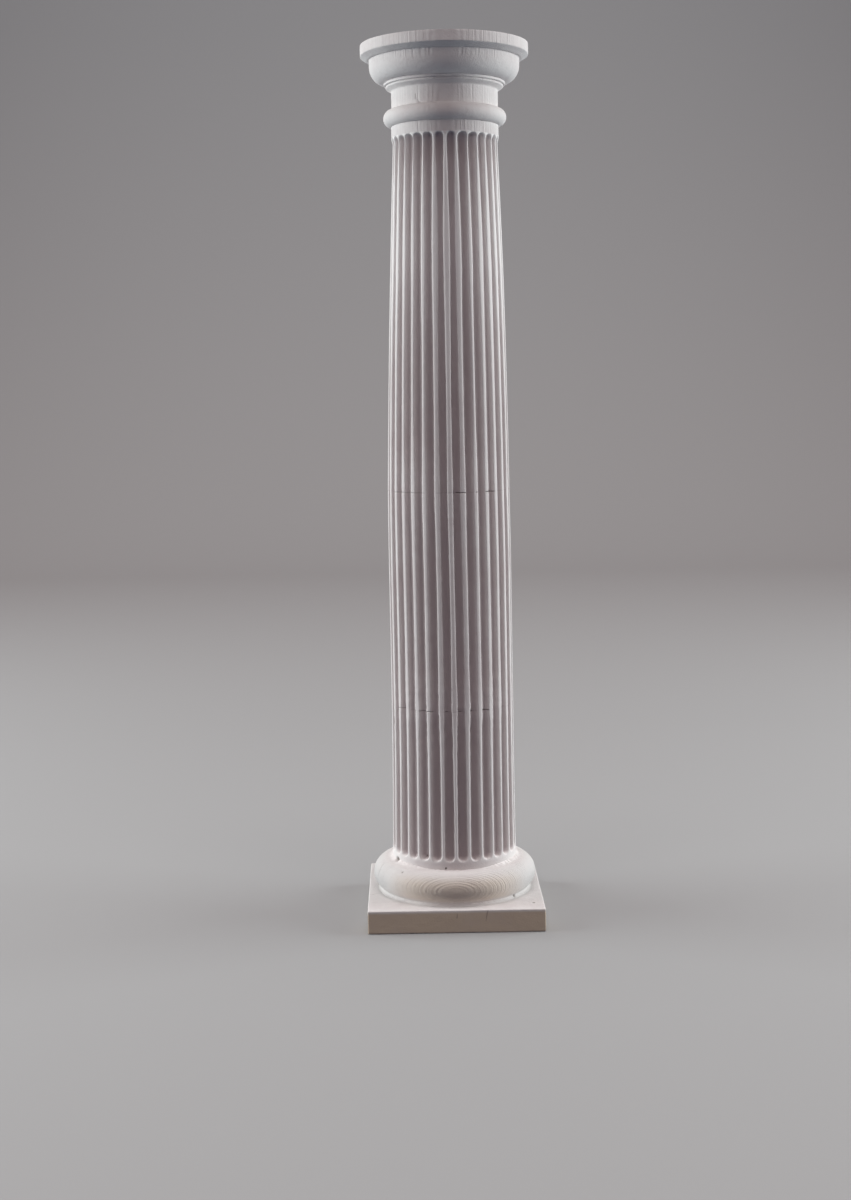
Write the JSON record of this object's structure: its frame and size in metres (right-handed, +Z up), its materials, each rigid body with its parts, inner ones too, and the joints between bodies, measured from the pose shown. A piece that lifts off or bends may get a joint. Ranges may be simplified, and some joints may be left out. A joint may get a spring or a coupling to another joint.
{
  "type": "scale model doric column",
  "caption": "Slender fluted Doric column in white plaster with square plinth, round torus base, turned capital and round abacus, stacked from cast lengths.",
  "frame": {"origin": "centre of the plinth's underside", "axes": "+Z up along the column's axis, X and Y square to the plinth's sides, -Y towards the pictured front, where a land of the flutes is centred"},
  "size_m": [0.0306, 0.0306, 0.15],
  "materials": {
    "plaster": "matt, unpainted, finely sanded"
  },
  "bodies": {
    "root": {"lower_piece": "plaster", "middle_drum": "plaster", "upper_piece": "plaster"}
  },
  "joints": []
}
